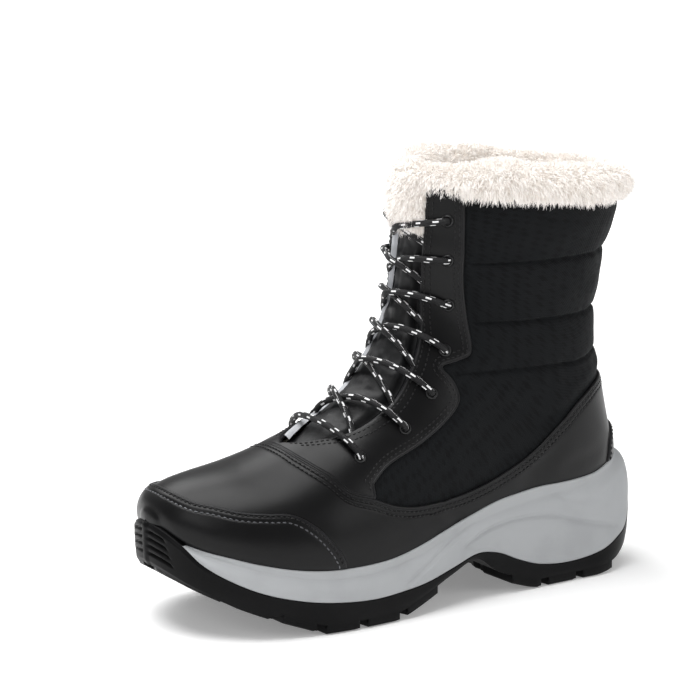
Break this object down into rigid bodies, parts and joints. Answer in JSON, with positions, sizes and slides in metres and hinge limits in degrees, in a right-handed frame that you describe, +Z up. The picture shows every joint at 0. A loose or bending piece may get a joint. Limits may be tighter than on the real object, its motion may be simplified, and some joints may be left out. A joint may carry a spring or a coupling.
{
  "type": "snow boot",
  "caption": "Lace-up mid-calf snow boot for the left foot with quilted shaft, toe cap, pile collar and thick wedge sole.",
  "frame": {"origin": "on the ground under the middle of the heel tread", "axes": "+X toward the toe, +Y toward the outer (lateral) side of the left boot, +Z up"},
  "size_m": [0.2755, 0.1046, 0.2233],
  "materials": {
    "sole_rubber": "matt moulded",
    "sole_foam": "matt moulded foam",
    "insole_felt": "brushed pile",
    "shaft_textile": "matt woven",
    "black_leather": "satin",
    "tongue_textile": "matt woven",
    "white_pile": "long pile",
    "lace_cord": "braided with pale flecks",
    "eyelet_rim": "satin"
  },
  "bodies": {
    "root": {"outsole": "sole_rubber", "midsole": "sole_foam", "insole": "insole_felt", "upper": "shaft_textile", "vamp": "black_leather", "toe_cap": "black_leather", "heel_stay": "black_leather", "lace_facing_lateral": "black_leather", "lace_facing_medial": "black_leather", "tongue": "tongue_textile", "fur_collar": "white_pile", "tongue_fur": "white_pile", "lace_bar": "lace_cord", "lace_crossing_1": "lace_cord", "lace_crossing_2": "lace_cord", "lace_crossing_3": "lace_cord", "lace_crossing_4": "lace_cord", "lace_crossing_5": "lace_cord", "lace_crossing_6": "lace_cord", "eyelet_lateral_1": "eyelet_rim", "eyelet_lateral_2": "eyelet_rim", "eyelet_lateral_3": "eyelet_rim", "eyelet_lateral_4": "eyelet_rim", "eyelet_lateral_5": "eyelet_rim", "eyelet_lateral_6": "eyelet_rim", "eyelet_lateral_7": "eyelet_rim", "eyelet_medial_1": "eyelet_rim", "eyelet_medial_2": "eyelet_rim", "eyelet_medial_3": "eyelet_rim", "eyelet_medial_4": "eyelet_rim", "eyelet_medial_5": "eyelet_rim", "eyelet_medial_6": "eyelet_rim", "eyelet_medial_7": "eyelet_rim"}
  },
  "joints": []
}
